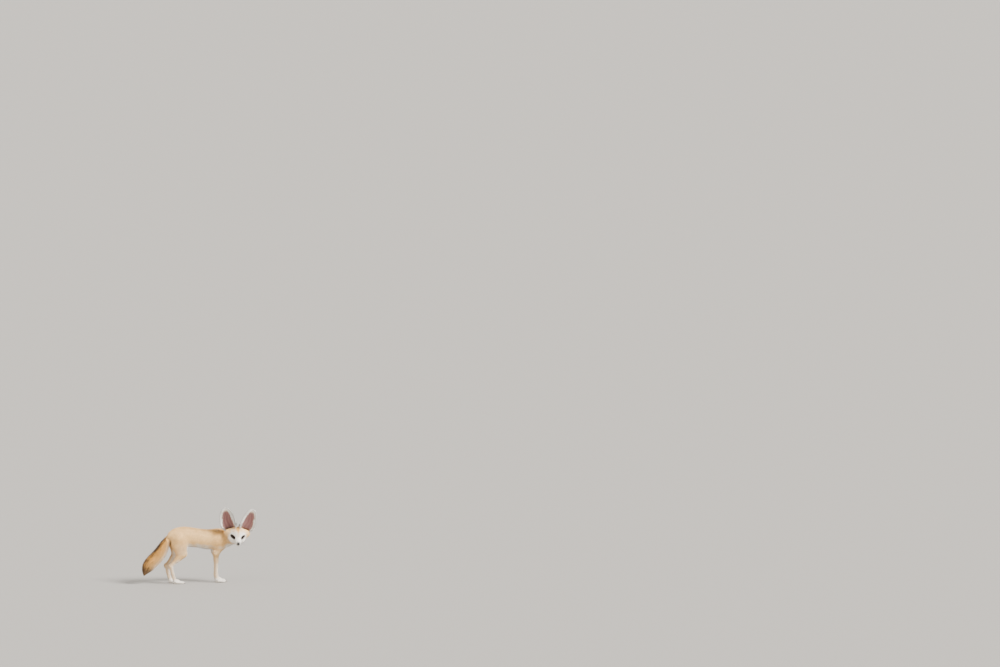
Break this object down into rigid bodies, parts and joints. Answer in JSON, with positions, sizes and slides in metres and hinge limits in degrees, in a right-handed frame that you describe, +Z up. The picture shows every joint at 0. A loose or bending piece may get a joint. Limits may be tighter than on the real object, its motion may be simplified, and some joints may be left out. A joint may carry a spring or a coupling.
{
  "type": "fennec fox figure",
  "caption": "Life-size standing fennec fox, head turned to its right side, with large cupped ears and a bushy tail hanging low.",
  "frame": {"origin": "under the middle of the bounding box, on the floor that the four soles rest on", "axes": "+Z up, +X ahead of the body, +Y to the fox's left; the head faces -Y"},
  "size_m": [0.4394, 0.1552, 0.2955],
  "materials": {
    "pale_coat": "short pale cream fur",
    "cream_coat": "short sandy cream fur",
    "tail_coat": "long ochre fur with a dark tip",
    "eye": "wet dark brown",
    "nose": "damp black skin"
  },
  "bodies": {
    "root": {"head": "pale_coat", "neck": "cream_coat", "torso": "cream_coat", "tail": "tail_coat", "fore_leg_left": "pale_coat", "fore_leg_right": "pale_coat", "hind_leg_left": "pale_coat", "hind_leg_right": "pale_coat", "ear_left": "cream_coat", "ear_right": "cream_coat", "eye_left": "eye", "eye_right": "eye", "nose": "nose"}
  },
  "joints": []
}
